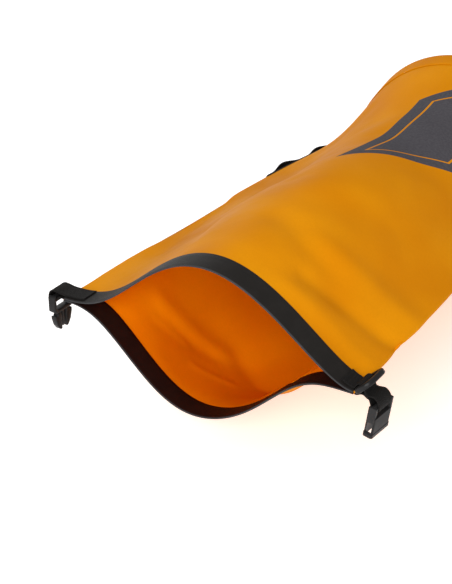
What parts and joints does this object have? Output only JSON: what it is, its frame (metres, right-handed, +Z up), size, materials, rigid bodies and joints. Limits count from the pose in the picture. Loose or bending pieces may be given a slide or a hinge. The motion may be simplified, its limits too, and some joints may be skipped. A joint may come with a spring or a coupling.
{
  "type": "roll-top dry bag",
  "caption": "Roll-top dry bag on its side, mouth open: welded coated-fabric tube, round base, stiffened lip bands, side-release buckle halves and a D-ring at the mouth corners.",
  "frame": {"origin": "on the floor, under the middle of the whole object's box", "axes": "+Z up, +Y from the mouth to the base, +X along the mouth towards the D-ring and the female buckle"},
  "size_m": [0.3458, 0.5722, 0.2315],
  "materials": {
    "orange_fabric": "smooth coated fabric with a soft sheen",
    "black_fabric": "matt rubberised band",
    "stiffener_plastic": "matt",
    "black_webbing": "woven webbing",
    "buckle_plastic": "satin moulded acetal"
  },
  "bodies": {
    "bag": {"body_panel": "orange_fabric", "base_panel": "orange_fabric", "base_seam_tape": "orange_fabric", "body_seam_tape": "orange_fabric", "upper_band": "black_fabric", "lower_band": "black_fabric", "upper_stiffener": "stiffener_plastic", "lower_stiffener": "stiffener_plastic", "lash_patch_left": "black_fabric", "lash_patch_right": "black_fabric", "lash_strip_left": "black_webbing", "lash_strip_right": "black_webbing", "left_strap_anchor": "black_webbing", "right_strap_anchor": "black_webbing"},
    "left_tab": {"left_strap_loop": "black_webbing"},
    "male_buckle": {"male_buckle_frame": "buckle_plastic"},
    "male_front_arm": {"male_arm_front": "buckle_plastic"},
    "male_rear_arm": {"male_arm_rear": "buckle_plastic"},
    "right_tab": {"right_strap_loop": "black_webbing"},
    "female_buckle": {"female_buckle_housing": "buckle_plastic"},
    "ring": {"d_ring": "buckle_plastic"}
  },
  "joints": [
    {"name": "left_strap_flex", "type": "hinge", "parent": "bag", "child": "left_tab", "pos_m": [-0.16012, -0.24415, 0.124], "axis": [0, 1, 0], "range_deg": [-15, 40], "stiffness_Nm_per_rad": 0.08},
    {"name": "male_buckle_swing", "type": "hinge", "parent": "left_tab", "child": "male_buckle", "pos_m": [-0.16622, -0.24415, 0.1204], "axis": [0, 1, 0], "range_deg": [-35, 100]},
    {"name": "male_front_arm_squeeze", "type": "hinge", "parent": "male_buckle", "child": "male_front_arm", "pos_m": [-0.16622, -0.25055, 0.104], "axis": [1, 0, 0], "range_deg": [0, 4.5], "stiffness_Nm_per_rad": 0.4},
    {"name": "male_rear_arm_squeeze", "type": "hinge", "parent": "male_buckle", "child": "male_rear_arm", "pos_m": [-0.16622, -0.23775, 0.104], "axis": [1, 0, 0], "range_deg": [-4.5, 0], "stiffness_Nm_per_rad": 0.4},
    {"name": "right_strap_flex", "type": "hinge", "parent": "bag", "child": "right_tab", "pos_m": [0.15968, -0.24415, 0.1214], "axis": [0, 1, 0], "range_deg": [-35, 15], "stiffness_Nm_per_rad": 0.08},
    {"name": "female_buckle_swing", "type": "hinge", "parent": "right_tab", "child": "female_buckle", "pos_m": [0.16758, -0.24415, 0.1135], "axis": [0.0872, 0.9962, 0], "range_deg": [-95, 30]},
    {"name": "d_ring_swing", "type": "hinge", "parent": "bag", "child": "ring", "pos_m": [0.15228, -0.24415, 0.1276], "axis": [0, 1, 0], "range_deg": [-70, 28]}
  ],
  "couplings": [
    {"joint": "male_rear_arm_squeeze", "follows": "male_front_arm_squeeze", "ratio": -1}
  ]
}
